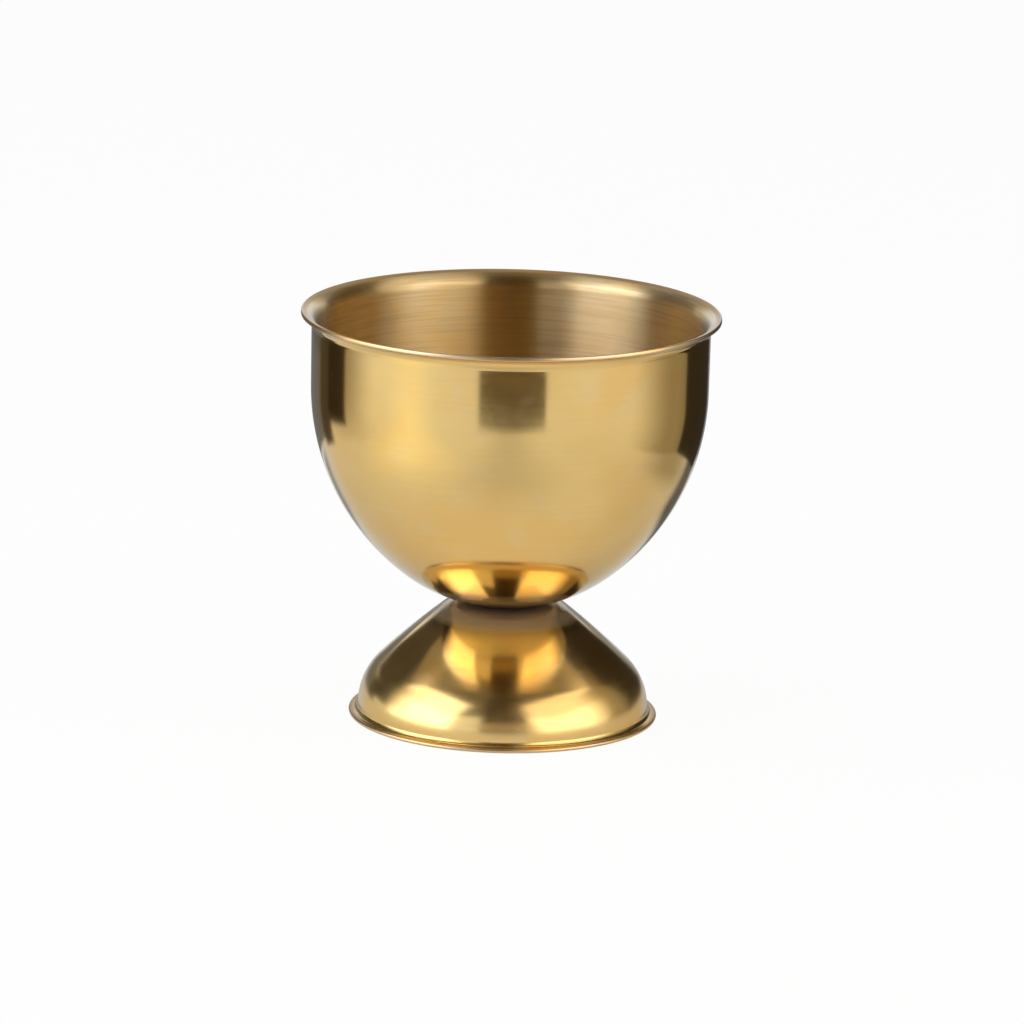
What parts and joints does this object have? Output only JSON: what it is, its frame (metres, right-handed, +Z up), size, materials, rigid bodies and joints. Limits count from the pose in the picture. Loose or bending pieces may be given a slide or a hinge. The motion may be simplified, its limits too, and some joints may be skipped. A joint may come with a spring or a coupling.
{
  "type": "egg cup",
  "caption": "Footed metal egg cup: a deep bowl with a flared lip, spot welded to a hollow bell foot with a flat flange.",
  "frame": {"origin": "centre of the base, on the surface the cup stands on", "axes": "+Z up along the cup's axis of revolution; X and Y are alike"},
  "size_m": [0.0501, 0.05, 0.0493],
  "materials": {
    "gold_polish": "gold-coloured coat over stainless steel, polished outside with fine turning marks inside",
    "bare_steel": "bare weld metal"
  },
  "bodies": {
    "root": {"bowl": "gold_polish", "foot": "gold_polish", "weld_nuggets": "bare_steel"}
  },
  "joints": []
}
